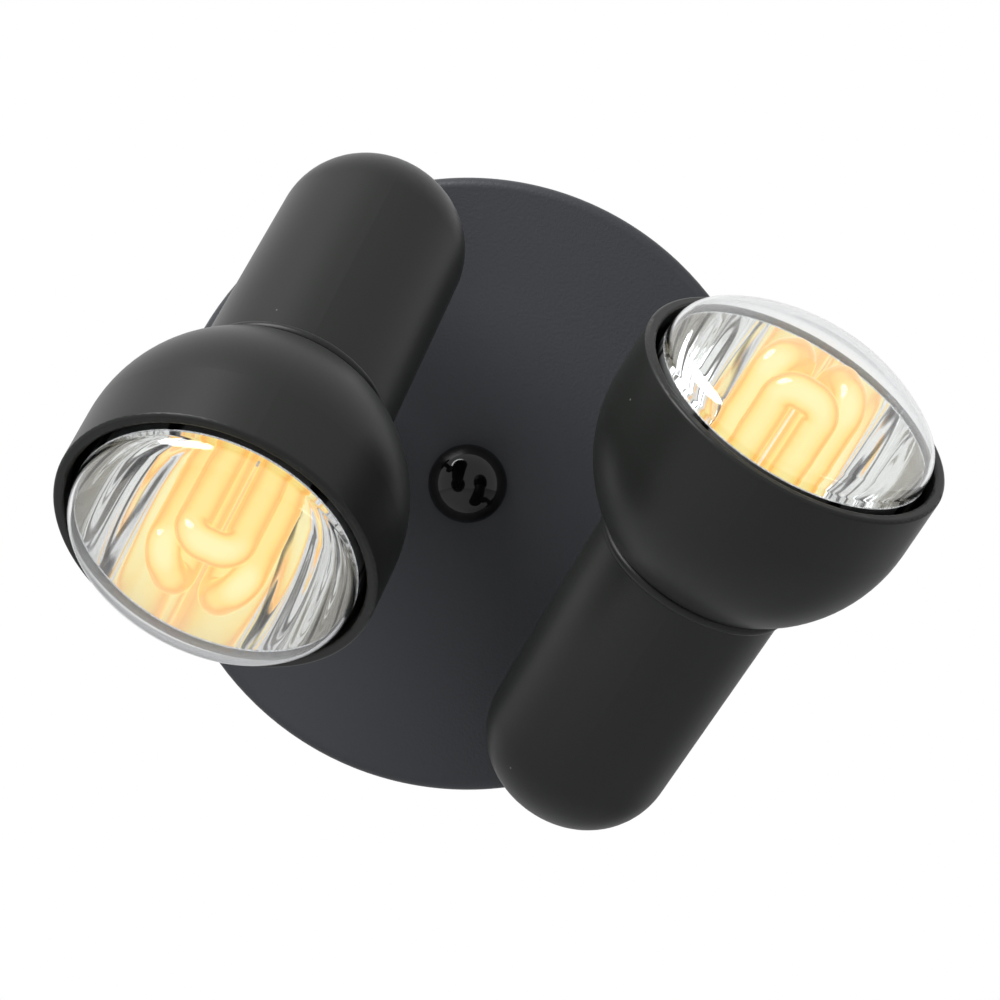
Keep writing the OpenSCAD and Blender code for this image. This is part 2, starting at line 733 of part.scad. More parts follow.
// Lampholder body: a front skirt round the screw shell, a narrower rear and a threaded stub
module lampholder(side)
    color("#111113") on_axis(side) difference() {
        rotate_extrude() difference() {
            union() {
                polygon([[0, holder_front], [holder_skirt_r, holder_front],
                         [holder_skirt_r, holder_step], [holder_rear_r, holder_step + skirt_taper],
                         [holder_rear_r, holder_rear - holder_edge],
                         [holder_rear_r - holder_edge, holder_rear], [0, holder_rear]]);
                translate([0, holder_rear - over])
                    square([nipple_d / 2, holder_stub_end - holder_rear + over]);
            }
            square([shell_r_out, shell_end]);
            square([shell_r_out - shell_ledge, contact_floor]);
            square([nipple_bore / 2, holder_stub_end + over]);
        }
        for (s = [-1, 1]) translate([0, s * terminal_y, holder_rear - terminal_len - thread_gap])
            cylinder(r = terminal_d / 2 + thread_gap, h = terminal_len + over);
    }

module holder_nut(side)
    color("#b9bbb6") on_axis(side) translate([0, 0, holder_rear + strap_t])
        hex_ring(nipple_nut_af, nipple_d / 2 + thread_gap, holder_nut_h);

module screw_shell(side)
    color("#c9a24a") on_axis(side) translate([0, 0, holder_front + shell_set_back])
        ring(shell_r_out, shell_r_in, shell_end - holder_front - shell_set_back);

// Centre contact of the holder: a disc on a post that is riveted to the holder's floor
module centre_contact(side)
    color("#c9a24a") on_axis(side) rotate_extrude() translate([0, cap_tip + slide_gap]) {
        depth = contact_floor - cap_tip - slide_gap;
        square([cap_contact_r, contact_t]);
        square([contact_post_r, depth]);
        translate([0, depth - contact_t]) square([contact_foot_r, contact_t]);
    }

module holder_screws(side)
    color("#c6c8c4") on_axis(side) for (s = [-1, 1]) translate([0, s * terminal_y, holder_rear])
        slotted_screw(terminal_d, terminal_len, head_ratio * terminal_d, terminal_head_h);

// Half section of the lamp's front, inset by w
module lamp_front_section(w) {
    reach = 1.3 * dome_r / (dome_r - shoulder_r);
    intersection() {
        translate([0, dome_centre]) circle(r = dome_r - w);
        polygon([[0, dome_centre],
                 [reach * shoulder_x, dome_centre - reach * (dome_centre - shoulder_z)],
                 [0, lamp_front - dome_r]]);
    }
    translate([shoulder_x, shoulder_z]) intersection() {
        circle(r = shoulder_r - w);
        translate([0, -shoulder_r]) square(shoulder_r);
    }
    translate([0, shoulder_z]) square([lamp_r - w, glass_joint - shoulder_z]);
}

module lamp_glass(side)
    color("#e8f0f0", 0.35) on_axis(side) rotate_extrude() difference() {
        lamp_front_section(0);
        lamp_front_section(glass_wall);
        translate([0, shoulder_z]) square([lamp_r - glass_wall, dome_centre]);
    }

// Radius of the reflector at station z: a paraboloid
function reflector_r(z) =
    sqrt(lamp_r * lamp_r - (lamp_r * lamp_r - reflector_rear_r * reflector_rear_r)
                           * (z - glass_joint) / (reflector_rear - glass_joint));

module lamp_reflector(side) {
    steps = 24;
    stations = [for (i = [0:steps]) glass_joint + (reflector_rear - glass_joint) * i / steps];
    color("#d8dadc") on_axis(side) rotate_extrude()
        polygon(concat([for (z = stations) [reflector_r(z), z]],
                       [for (i = [0:steps]) let (z = stations[steps - i]) [reflector_r(z) - glass_wall, z]]));
}

// Three bent tubes round the lamp's axis, each on two straight legs
module lamp_tubes(side)
    color("#ffd27a") on_axis(side) for (i = [1:tubes]) rotate([0, 0, 360 / tubes * i]) {
        translate([tube_plane, 0, bend_z]) rotate([0, 90, 0]) rotate([0, 0, -90])
            rotate_extrude(angle = 180) translate([tube_pitch / 2, 0]) circle(r = tube_d / 2);
        for (s = [-1, 1]) translate([tube_plane, s * tube_pitch / 2, bend_z - eps])
            cylinder(r = tube_d / 2, h = tube_plate_z - bend_z + eps);
    }

// Plate under the tubes, collar behind the reflector and the cone down to the cap
module lamp_base(side)
    color("#eceae4") on_axis(side) rotate_extrude()
        polygon([[0, tube_plate_z], [reflector_r(tube_plate_z) - glass_wall - hole_gap, tube_plate_z],
                 [reflector_rear_r - glass_wall - hole_gap, reflector_rear], [collar_r, reflector_rear],
                 [collar_r, collar_end], [cap_r + cap_wall, cap_front], [cap_inner_r, cap_front],
                 [cap_inner_r, cap_front + cap_plug], [0, cap_front + cap_plug]]);

module lamp_cap(side)
    color("#c8c9c6") on_axis(side) rotate_extrude()
        polygon([[cap_inner_r, cap_front], [cap_r, cap_front], [cap_r, cap_shell_end - cap_cone],
                 [cap_r - cap_cone, cap_shell_end], [cap_inner_r - cap_cone, cap_shell_end],
                 [cap_inner_r, cap_shell_end - cap_cone]]);

module lamp_insulator(side)
    color("#101014") on_axis(side) rotate_extrude()
        polygon([[0, cap_shell_end - cap_cone], [cap_inner_r, cap_shell_end - cap_cone],
                 [cap_inner_r - cap_cone, cap_shell_end], [cap_contact_r, cap_tip - cap_contact_h],
                 [0, cap_tip - cap_contact_h]]);

module lamp_contact(side)
    color("#c9a24a") on_axis(side) translate([0, 0, cap_tip - cap_contact_h]) rotate_extrude()
        polygon([[0, 0], [cap_contact_r, 0], [cap_contact_r - cap_contact_taper, cap_contact_h],
                 [0, cap_contact_h]]);

backplate();
mounting_bracket();
centre_stud();
stud_nut();
cap_nut();
earth_screw();
terminal_block();
terminal_inserts();
terminal_screws();
block_screws();
plate_washers();
swivel_base("left");  // left_swivel_base
nipple("left");  // left_nipple
spring_washer("left");  // left_spring_washer
nipple_nut("left");  // left_nipple_nut
tilt_screw("left");  // left_tilt_screw
tilt_nut("left");  // left_tilt_nut
friction_washer("left");  // left_friction_washer
head_knuckle("left");  // left_head_knuckle
head_nut("left");  // left_head_nut
housing("left");  // left_housing
holder_strap("left");  // left_holder_strap
lampholder("left");  // left_lampholder
holder_nut("left");  // left_holder_nut
screw_shell("left");  // left_screw_shell
centre_contact("left");  // left_centre_contact
holder_screws("left");  // left_holder_screws
lamp_glass("left");  // left_lamp_glass
lamp_reflector("left");  // left_lamp_reflector
lamp_tubes("left");  // left_lamp_tubes
lamp_base("left");  // left_lamp_base
lamp_cap("left");  // left_lamp_cap
lamp_insulator("left");  // left_lamp_insulator
lamp_contact("left");  // left_lamp_contact
swivel_base("right");  // right_swivel_base
nipple("right");  // right_nipple
spring_washer("right");  // right_spring_washer
nipple_nut("right");  // right_nipple_nut
tilt_screw("right");  // right_tilt_screw
tilt_nut("right");  // right_tilt_nut
friction_washer("right");  // right_friction_washer
head_knuckle("right");  // right_head_knuckle
head_nut("right");  // right_head_nut
housing("right");  // right_housing
holder_strap("right");  // right_holder_strap
lampholder("right");  // right_lampholder
holder_nut("right");  // right_holder_nut
screw_shell("right");  // right_screw_shell
centre_contact("right");  // right_centre_contact
holder_screws("right");  // right_holder_screws
lamp_glass("right");  // right_lamp_glass
lamp_reflector("right");  // right_lamp_reflector
lamp_tubes("right");  // right_lamp_tubes
lamp_base("right");  // right_lamp_base
lamp_cap("right");  // right_lamp_cap
lamp_insulator("right");  // right_lamp_insulator
lamp_contact("right");  // right_lamp_contact
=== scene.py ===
# A two-head wall spotlight on white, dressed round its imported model
import json
import math
import bmesh
import bpy
import numpy as np
from mathutils import Matrix, Vector


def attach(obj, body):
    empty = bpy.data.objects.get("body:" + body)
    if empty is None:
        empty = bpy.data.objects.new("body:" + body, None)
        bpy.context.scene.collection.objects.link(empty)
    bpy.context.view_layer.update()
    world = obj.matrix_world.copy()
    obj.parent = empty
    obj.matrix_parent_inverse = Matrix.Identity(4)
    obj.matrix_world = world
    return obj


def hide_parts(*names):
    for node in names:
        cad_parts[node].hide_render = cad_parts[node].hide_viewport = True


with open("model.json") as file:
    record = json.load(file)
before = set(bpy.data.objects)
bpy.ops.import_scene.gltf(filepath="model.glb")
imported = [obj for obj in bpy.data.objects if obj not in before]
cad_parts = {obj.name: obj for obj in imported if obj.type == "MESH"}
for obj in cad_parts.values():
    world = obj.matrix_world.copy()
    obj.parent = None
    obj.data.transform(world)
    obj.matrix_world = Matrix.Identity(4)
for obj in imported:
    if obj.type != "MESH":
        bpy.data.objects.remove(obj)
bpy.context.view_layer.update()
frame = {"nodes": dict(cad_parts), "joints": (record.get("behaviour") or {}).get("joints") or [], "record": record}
scene = bpy.context.scene
nodes = frame["nodes"]
joints = {joint["name"]: joint for joint in frame["joints"]}
mm = 0.001
sides = ("left", "right")
print("frame loaded:", len(nodes), "nodes")

# Camera and light

studio = {
    "cameraPlace": (0.0095, -1.211, -0.0048),
    "cameraTurn": (90.0, 0.0, 0.0),  # degrees: straight at the wall, along +Y
    "lens": 146.2,
    "sensorWidth": 36.0,
    "clipStart": 0.05,
    "floorHeight": -0.34,
    "floorSize": 2.6,
    "floorColour": (0.82, 0.82, 0.83),
    "floorRoughness": 0.7,
    "worldFill": 0.13,
    "lookAt": (0.0, -0.08, 0.0),
    "panels": (
        # name, place, width of the panel, power in watts
        ("keyPanel", (-0.6, -0.7, 1.25), 1.0, 34.0),
        ("lowPanel", (0.9, -1.0, -0.5), 0.6, 2.0),
    ),
}


def makeCamera():
    data = bpy.data.cameras.new("camera")
    data.sensor_width = studio["sensorWidth"]
    data.lens = studio["lens"]
    data.clip_start = studio["clipStart"]
    camera = bpy.data.objects.new("camera", data)
    scene.collection.objects.link(camera)
    camera.location = studio["cameraPlace"]
    camera.rotation_euler = [math.radians(angle) for angle in studio["cameraTurn"]]
    scene.camera = camera


def makePanels():
    for name, place, size, power in studio["panels"]:
        data = bpy.data.lights.new(name, "AREA")
        data.shape = "DISK"
        data.size = size
        data.energy = power
        panel = bpy.data.objects.new(name, data)
        scene.collection.objects.link(panel)
        panel.location = place
        aim = Vector(studio["lookAt"]) - Vector(place)
        panel.rotation_euler = aim.to_track_quat("-Z", "Y").to_euler()


def makeWorld():
    # White where the camera, a reflection or a refraction looks, and plain soft light elsewhere
    world = bpy.data.worlds.new("studio")
    world.use_nodes = True
    scene.world = world
    tree = world.node_tree
    tree.nodes.clear()
    fill = tree.nodes.new("ShaderNodeBackground")
    fill.inputs["Strength"].default_value = studio["worldFill"]
    white = tree.nodes.new("ShaderNodeBackground")
    for background in (fill, white):
        background.inputs["Color"].default_value = (1.0, 1.0, 1.0, 1.0)
    path = tree.nodes.new("ShaderNodeLightPath")
    seen = path.outputs["Is Camera Ray"]
    for ray in ("Is Glossy Ray", "Is Transmission Ray"):
        either = tree.nodes.new("ShaderNodeMath")
        either.operation = "MAXIMUM"
        tree.links.new(seen, either.inputs[0])
        tree.links.new(path.outputs[ray], either.inputs[1])
        seen = either.outputs[0]
    mix = tree.nodes.new("ShaderNodeMixShader")
    output = tree.nodes.new("ShaderNodeOutputWorld")
    tree.links.new(seen, mix.inputs[0])
    tree.links.new(fill.outputs[0], mix.inputs[1])
    tree.links.new(white.outputs[0], mix.inputs[2])
    tree.links.new(mix.outputs[0], output.inputs[0])


def makeFloor():
    # Plain pale square below the light
    half = studio["floorSize"] / 2
    height = studio["floorHeight"]
    corners = [(x, y, height) for x, y in ((-half, -half), (half, -half), (half, half), (-half, half))]
    mesh = bpy.data.meshes.new("floor")
    mesh.from_pydata(corners, [], [(0, 1, 2, 3)])
    floor = bpy.data.objects.new("floor", mesh)
    scene.collection.objects.link(floor)
    material = bpy.data.materials.new("floorPaint")
    material.use_nodes = True
    shader = material.node_tree.nodes["Principled BSDF"]
    shader.inputs["Base Color"].default_value = (*studio["floorColour"], 1.0)
    shader.inputs["Roughness"].default_value = studio["floorRoughness"]
    mesh.materials.append(material)


scene.view_settings.view_transform = "Standard"
makeCamera()
makePanels()
makeWorld()
makeFloor()
print("camera, light panels and floor made")

# Helpers for shader trees


def mathNode(tree, operation, first, second=0.0):
    node = tree.nodes.new("ShaderNodeMath")
    node.operation = operation
    for socket, value in zip(node.inputs, (first, second)):
        if isinstance(value, (int, float)):
            socket.default_value = value
        else:
            tree.links.new(value, socket)
    return node.outputs[0]


def noiseNode(tree, place, scale, detail=2.0, distortion=0.0):
    node = tree.nodes.new("ShaderNodeTexNoise")
    node.inputs["Detail"].default_value = detail
    node.inputs["Distortion"].default_value = distortion
    tree.links.new(place, node.inputs["Vector"])
    if isinstance(scale, (int, float)):
        node.inputs["Scale"].default_value = scale
    else:
        tree.links.new(scale, node.inputs["Scale"])
    return node.outputs["Fac"]


def stretched(tree, place, scale):
    # Pattern place multiplied by a scale on each axis
    node = tree.nodes.new("ShaderNodeMapping")
    node.inputs["Scale"].default_value = scale
    tree.links.new(place, node.inputs["Vector"])
    return node.outputs[0]


def mixedColour(tree, amount, first, second):
    # From the first colour to the second, each three numbers or another node's output
    node = tree.nodes.new("ShaderNodeMix")
    node.data_type = "RGBA"
    for socketName, colour in (("A", first), ("B", second)):
        if isinstance(colour, tuple):
            node.inputs[socketName].default_value = (*colour, 1.0)
        else:
            tree.links.new(colour, node.inputs[socketName])
    tree.links.new(amount, node.inputs["Factor"])
    return node.outputs["Result"]


def spread(tree, value, low, high):
    # Value from 0 to 1 carried to low to high
    node = tree.nodes.new("ShaderNodeMapRange")
    node.inputs["To Min"].default_value = low
    node.inputs["To Max"].default_value = high
    tree.links.new(value, node.inputs["Value"])
    return node.outputs[0]


def fadedOut(tree, value, start, end):
    # 1 below the start and 0 above the end, with a smooth step between them
    node = tree.nodes.new("ShaderNodeMapRange")
    node.interpolation_type = "SMOOTHSTEP"
    node.inputs["From Min"].default_value = start
    node.inputs["From Max"].default_value = end
    node.inputs["To Min"].default_value = 1.0
    node.inputs["To Max"].default_value = 0.0
    tree.links.new(value, node.inputs["Value"])
    return node.outputs[0]


def ramped(tree, value, tones):
    # Colour of each position in the tones, blended between them
    node = tree.nodes.new("ShaderNodeValToRGB")
    elements = node.color_ramp.elements
    for index, (position, colour) in enumerate(tones):
        if index > 1:
            elements.new(position)
        elements[index].position = position
        elements[index].color = (*colour, 1.0)
    tree.links.new(value, node.inputs[0])
    return node.outputs[0]


def bumped(tree, shader, height, depth, strength=1.0):
    node = tree.nodes.new("ShaderNodeBump")
    node.inputs["Strength"].default_value = strength
    node.inputs["Distance"].default_value = depth
    tree.links.new(height, node.inputs["Height"])
    tree.links.new(node.outputs[0], shader.inputs["Normal"])


# Shader groups shared by the finishes


def startGroup(name, inputs, outputs):
    group = bpy.data.node_groups.new(name, "ShaderNodeTree")
    for socketName, value in inputs:
        kind = "NodeSocketVector" if socketName == "Place" else "NodeSocketFloat"
        socket = group.interface.new_socket(name=socketName, in_out="INPUT", socket_type=kind)
        if value is not None:
            socket.default_value = value
    for socketName in outputs:
        group.interface.new_socket(name=socketName, in_out="OUTPUT", socket_type="NodeSocketFloat")
    return group, group.nodes.new("NodeGroupInput"), group.nodes.new("NodeGroupOutput")


film = {
    "peelScale": 900.0,
    "peelDetail": 3.0,
    "toneScale": 22.0,
    "dustScale": 160.0,
    "dustRarity": 0.965,  # share of the cells that hold no speck
    "dustSize": 0.045,  # a speck's radius, as a share of its cell
}


def paintFilmGroup():
    # Height: orange peel from fine noise. Tone: slow change of gloss. Dust: sparse small specks
    group, given, result = startGroup(
        "paintFilm",
        (("Place", None), ("Peel Scale", film["peelScale"])),
        ("Height", "Tone", "Dust"),
    )
    place = given.outputs["Place"]
    height = noiseNode(group, place, given.outputs["Peel Scale"], film["peelDetail"])
    tone = noiseNode(group, place, film["toneScale"])
    cells = group.nodes.new("ShaderNodeTexVoronoi")
    cells.inputs["Scale"].default_value = film["dustScale"]
    group.links.new(place, cells.inputs["Vector"])
    picked = group.nodes.new("ShaderNodeSeparateColor")
    group.links.new(cells.outputs["Color"], picked.inputs[0])
    rare = mathNode(group, "GREATER_THAN", picked.outputs[0], film["dustRarity"])
    small = mathNode(group, "LESS_THAN", cells.outputs["Distance"], film["dustSize"])
    dust = mathNode(group, "MULTIPLY", rare, small)
    group.links.new(height, result.inputs["Height"])
    group.links.new(tone, result.inputs["Tone"])
    group.links.new(dust, result.inputs["Dust"])
    return group


brush = {
    "grainScale": 1500.0,
    "stretch": (1.0, 0.08, 1.0),  # long along Y
    "toneScale": 180.0,
    "toneDetail": 3.0,
}


def metalGrainGroup():
    # Grain: fine noise stretched along one axis, as a brush or a die leaves it. Tone: slow staining
    group, given, result = startGroup(
        "metalGrain", (("Place", None), ("Grain Scale", brush["grainScale"])), ("Grain", "Tone")
    )
    place = given.outputs["Place"]
    grain = noiseNode(group, stretched(group, place, brush["stretch"]), given.outputs["Grain Scale"])
    tone = noiseNode(group, place, brush["toneScale"], brush["toneDetail"])
    group.links.new(grain, result.inputs["Grain"])
    group.links.new(tone, result.inputs["Tone"])
    return group


paintFilm = paintFilmGroup()
metalGrain = metalGrainGroup()

# Materials


def startMaterial(name, plain):
    material = bpy.data.materials.new(name)
    material.use_nodes = True
    tree = material.node_tree
    shader = tree.nodes["Principled BSDF"]
    for socketName, value in plain.items():
        shader.inputs[socketName].default_value = value
    return material, tree, shader


def objectPlace(tree):
    return tree.nodes.new("ShaderNodeTexCoord").outputs["Object"]


def placedGroup(tree, group, values):
    node = tree.nodes.new("ShaderNodeGroup")
    node.node_tree = group
    tree.links.new(objectPlace(tree), node.inputs["Place"])
    for socketName, value in values.items():
        node.inputs[socketName].default_value = value
    return node


# Roughness runs from the first value to the second, and depths are in metres
paints = {
    "platePaint": {
        "base": (0.046, 0.048, 0.054), "dust": (0.14, 0.14, 0.14), "rough": (0.36, 0.46),
        "peelScale": 1000.0, "peelDepth": 0.00012, "specular": 0.2,
    },
    "housingPaint": {
        "base": (0.013, 0.0142, 0.013), "dust": (0.16, 0.16, 0.15), "rough": (0.33, 0.41),
        "peelScale": 2400.0, "peelDepth": 0.00002, "specular": 0.2,
    },
    "knucklePaint": {
        "base": (0.022, 0.023, 0.0225), "dust": (0.1, 0.1, 0.1), "rough": (0.4, 0.52),
        "peelScale": 1800.0, "peelDepth": 0.00003, "specular": 0.2,
    },
    "blackOxide": {
        "base": (0.02, 0.02, 0.022), "dust": (0.1, 0.1, 0.1), "rough": (0.3, 0.42),
        "peelScale": 2600.0, "peelDepth": 0.00001, "specular": 0.5,
    },
    "phenolic": {
        "base": (0.018, 0.016, 0.015), "dust": (0.09, 0.085, 0.08), "rough": (0.34, 0.46),
        "peelScale": 1400.0, "peelDepth": 0.00002, "specular": 0.5,
    },
    "glossLacquer": {
        "base": (0.004, 0.004, 0.0045), "dust": (0.05, 0.05, 0.05), "rough": (0.05, 0.08),
        "peelScale": 300.0, "peelDepth": 0.000004, "specular": 0.3,
    },
    "whitePlastic": {
        "base": (0.74, 0.72, 0.66), "dust": (0.5, 0.48, 0.44), "rough": (0.38, 0.5),
        "peelScale": 1400.0, "peelDepth": 0.00002, "specular": 0.5,
    },
    "fibre": {
        "base": (0.2, 0.045, 0.02), "dust": (0.28, 0.1, 0.05), "rough": (0.55, 0.7),
        "peelScale": 2200.0, "peelDepth": 0.00005, "specular": 0.4,
    },
}


def paintMaterial(name):
    paint = paints[name]
    material, tree, shader = startMaterial(name, {"Specular IOR Level": paint["specular"]})
    coat = placedGroup(tree, paintFilm, {"Peel Scale": paint["peelScale"]})
    colour = mixedColour(tree, coat.outputs["Dust"], paint["base"], paint["dust"])
    tree.links.new(colour, shader.inputs["Base Color"])
    tree.links.new(spread(tree, coat.outputs["Tone"], *paint["rough"]), shader.inputs["Roughness"])
    bumped(tree, shader, coat.outputs["Height"], paint["peelDepth"])
    return material


metals = {
    "zincPlate": {
        "light": (0.66, 0.67, 0.68), "dark": (0.52, 0.52, 0.5), "rough": (0.24, 0.4),
        "grainScale": 1600.0, "grainDepth": 0.00001,
    },
    "nickelPlate": {
        "light": (0.72, 0.7, 0.66), "dark": (0.6, 0.58, 0.54), "rough": (0.16, 0.28),
        "grainScale": 1800.0, "grainDepth": 0.000006,
    },
    "rawBrass": {
        "light": (0.78, 0.57, 0.25), "dark": (0.6, 0.4, 0.16), "rough": (0.22, 0.38),
        "grainScale": 1500.0, "grainDepth": 0.00001,
    },
}


def metalMaterial(name):
    metal = metals[name]
    material, tree, shader = startMaterial(name, {"Metallic": 1.0})
    skin = placedGroup(tree, metalGrain, {"Grain Scale": metal["grainScale"]})
    colour = mixedColour(tree, skin.outputs["Tone"], metal["light"], metal["dark"])
    tree.links.new(colour, shader.inputs["Base Color"])
    tree.links.new(spread(tree, skin.outputs["Grain"], *metal["rough"]), shader.inputs["Roughness"])
    bumped(tree, shader, skin.outputs["Grain"], metal["grainDepth"])
    return material


clearGlass = {
    "ior": 1.5,
    "clear": (0.97, 0.98, 0.98),
    "edge": (0.62, 0.63, 0.65),
    "facing": (-0.9, 1.1),  # mix of the two where the glass faces the eye and at its silhouette
    "flowScale": 45.0,
    "flowDetail": 1.0,
    "flowDepth": 0.00005,
    "flowStrength": 0.5,
}


def clearGlassMaterial():
    # Clear where the eye looks through it squarely, and greyer toward its silhouette
    plain = {"Transmission Weight": 1.0, "IOR": clearGlass["ior"], "Roughness": 0.0}
    material, tree, shader = startMaterial("clearGlass", plain)
    layer = tree.nodes.new("ShaderNodeLayerWeight")
    steep = spread(tree, layer.outputs["Facing"], *clearGlass["facing"])
    colour = mixedColour(tree, steep, clearGlass["clear"], clearGlass["edge"])
    tree.links.new(colour, shader.inputs["Base Color"])
    flow = noiseNode(tree, objectPlace(tree), clearGlass["flowScale"], clearGlass["flowDetail"])
    bumped(tree, shader, flow, clearGlass["flowDepth"], clearGlass["flowStrength"])
    return material


mirror = {
    "metallic": 0.87,  # the rest is the light that a thin coat scatters
    "roughness": 0.03,
    "scales": (5.0, 5.0, 0.9),  # close round the axis and slow along the wall, for long thin painted reflection streaks
    "distortion": 0.25,
    "sides": (0.25, 0.6),  # sizes of sin t between which the painted reflection streaks fade in
    # tones of the painted reflection, from dark grey to white
    "tones": (
        (0.37, (0.03, 0.03, 0.035)),
        (0.4, (0.28, 0.28, 0.29)),
        (0.43, (0.95, 0.96, 0.98)),
        (0.46, (0.98, 0.99, 1.0)),
    ),
}


def mirrorMaterial():
    # Painted reflection: streaks from noise on (cos t, sin t, wall length), long down the wall, from dark grey to
    # white in the base colour
    plain = {"Metallic": mirror["metallic"], "Roughness": mirror["roughness"]}
    material, tree, shader = startMaterial("mirrorCoat", plain)
    own = tree.nodes.new("ShaderNodeAttribute")
    own.attribute_name = "turnPlace"
    place = own.outputs["Vector"]
    flow = noiseNode(tree, stretched(tree, place, mirror["scales"]), 1.0, distortion=mirror["distortion"])
    split = tree.nodes.new("ShaderNodeSeparateXYZ")
    tree.links.new(place, split.inputs[0])
    clear = fadedOut(tree, mathNode(tree, "ABSOLUTE", split.outputs["Y"]), *mirror["sides"])
    # painted reflection: dark and white streaks in the base colour, plain white where sin t is small
    paintedReflectionStreak = mathNode(tree, "MAXIMUM", flow, clear)
    tree.links.new(ramped(tree, paintedReflectionStreak, mirror["tones"]), shader.inputs["Base Color"])
    return material


glow = {
    "base": (0.05, 0.04, 0.025, 1.0),
    "roughness": 0.1,
    "strength": 1.0,
    # share of the way from facing the eye to the silhouette, and the light's colour there
    "tones": (
        (0.0, (1.0, 0.96, 0.58)),
        (0.5, (1.0, 0.88, 0.41)),
        (0.75, (1.0, 0.73, 0.22)),
        (0.93, (0.98, 0.5, 0.12)),
    ),
    "mirrored": 0.45,  # how much further along those tones the mirror shows the tubes
    "cast": (1.0, 1.0, 1.0),  # cast on what is round them, where the room's light drowns their tint
    "cloudScale": 120.0,
    "cloudSpread": (0.9, 1.1),
    "cloudDepth": 0.0002,
    "cloudStrength": 0.3,
}


def tubeGlowMaterial():
    # Cream where the tube faces the eye and orange at its silhouette, as light through a coated wall
    plain = {
        "Base Color": glow["base"],
        "Roughness": glow["roughness"],
        "Emission Strength": glow["strength"],
    }
    material, tree, shader = startMaterial("tubeGlow", plain)
    layer = tree.nodes.new("ShaderNodeLayerWeight")
    path = tree.nodes.new("ShaderNodeLightPath")
    cloud = noiseNode(tree, objectPlace(tree), glow["cloudScale"])
    cloudy = spread(tree, cloud, *glow["cloudSpread"])
    amount = mathNode(tree, "MULTIPLY", layer.outputs["Facing"], cloudy)
    mirrored = mathNode(tree, "MULTIPLY", path.outputs["Is Glossy Ray"], glow["mirrored"])
    colour = ramped(tree, mathNode(tree, "ADD", amount, mirrored), glow["tones"])
    light = mixedColour(tree, path.outputs["Is Diffuse Ray"], colour, glow["cast"])
    tree.links.new(light, shader.inputs["Emission Color"])
    bumped(tree, shader, cloud, glow["cloudDepth"], glow["cloudStrength"])
    return material


materials = {name: paintMaterial(name) for name in paints}
materials.update({name: metalMaterial(name) for name in metals})
materials["clearGlass"] = clearGlassMaterial()
materials["mirrorCoat"] = mirrorMaterial()
materials["tubeGlow"] = tubeGlowMaterial()
print("materials made:", len(materials))

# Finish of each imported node, by the record's slot
slotFinish = {
    "plate_paint": "platePaint",
    "housing_paint": "housingPaint",
    "knuckle_paint": "knucklePaint",
    "gloss_black": "glossLacquer",
    "black_screw": "blackOxide",
    "zinc_plate": "zincPlate",
    "nickel": "nickelPlate",
    "brass": "rawBrass",
    "phenolic": "phenolic",
    "white_plastic": "whitePlastic",
    "fibre": "fibre",
    "clear_glass": "clearGlass",
    "mirror_coat": "mirrorCoat",
    "tube_glow": "tubeGlow",
}
for part in frame["record"]["subparts"]:
    node = nodes[part["node"]]
    node.data.materials.clear()
    node.data.materials.append(materials[slotFinish[part["material_slot"]]])
print("packed nodes finished")

# Shapes, with sizes in millimetres

grid = {
    "sharpAngle": 35.0,  # degrees between faces, past which an edge stays sharp
    "mergeDistance": 1e-7,  # metres
    "wallUnit": 50.0,  # wall length that counts as one in the turned place
}


def arc(centre, radius, start, end, count):
    # Points of an arc in a half section: (r, h) = centre + radius * (cos, sin) of the angle
    angle = np.radians(np.linspace(start, end, count))
    return np.stack([centre[0] + radius * np.cos(angle), centre[1] + radius * np.sin(angle)], axis=1)


def line(start, end, count):
    # Evenly spaced points from the start to the end
    return np.linspace(start, end, count)


def gridFaces(rows, columns, closedRows):
    # Quads between neighbouring rows and columns; columns always close on themselves
    rowStep = rows if closedRows else rows - 1
    i, j = np.meshgrid(np.arange(rowStep), np.arange(columns), indexing="ij")
    nextRow, nextColumn = (i + 1) % rows, (j + 1) % columns
    corners = (
        i * columns + j,
        i * columns + nextColumn,
        nextRow * columns + nextColumn,
        nextRow * columns + j,
    )
    return np.stack(corners, axis=-1).reshape(-1, 4)


def closeMesh(mesh):
    # Merges the doubled points of poles and seams, then turns the faces outward
    work = bmesh.new()
    work.from_mesh(mesh)
    bmesh.ops.remove_doubles(work, verts=work.verts, dist=grid["mergeDistance"])
    bmesh.ops.recalc_face_normals(work, faces=work.faces)
    work.to_mesh(mesh)
    work.free()


def meshFrom(name, points, faces, attributes=None):
    mesh = bpy.data.meshes.new(name)
    mesh.vertices.add(len(points))
    mesh.vertices.foreach_set("co", np.asarray(points, np.float32).ravel())
    mesh.loops.add(faces.size)
    mesh.loops.foreach_set("vertex_index", faces.astype(np.int32).ravel())
    mesh.polygons.add(len(faces))
    corners = faces.shape[1]
    mesh.polygons.foreach_set("loop_start", np.arange(0, faces.size, corners, dtype=np.int32))
    mesh.polygons.foreach_set("loop_total", np.full(len(faces), corners, np.int32))
    mesh.update(calc_edges=True)
    for attributeName, values in (attributes or {}).items():
        layer = mesh.attributes.new(attributeName, "FLOAT_VECTOR", "POINT")
        layer.data.foreach_set("vector", np.asarray(values, np.float32).ravel())
    piece = bpy.data.objects.new(name, mesh)
    scene.collection.objects.link(piece)
    closeMesh(mesh)
    mesh.shade_smooth()
    mesh.set_sharp_from_angle(angle=math.radians(grid["sharpAngle"]))
    return piece


def placed(points, place):
    # Points of a piece's own frame carried into the shared frame by its matrix
    matrix = np.array(place)
    return points @ matrix[:3, :3].T + matrix[:3, 3]


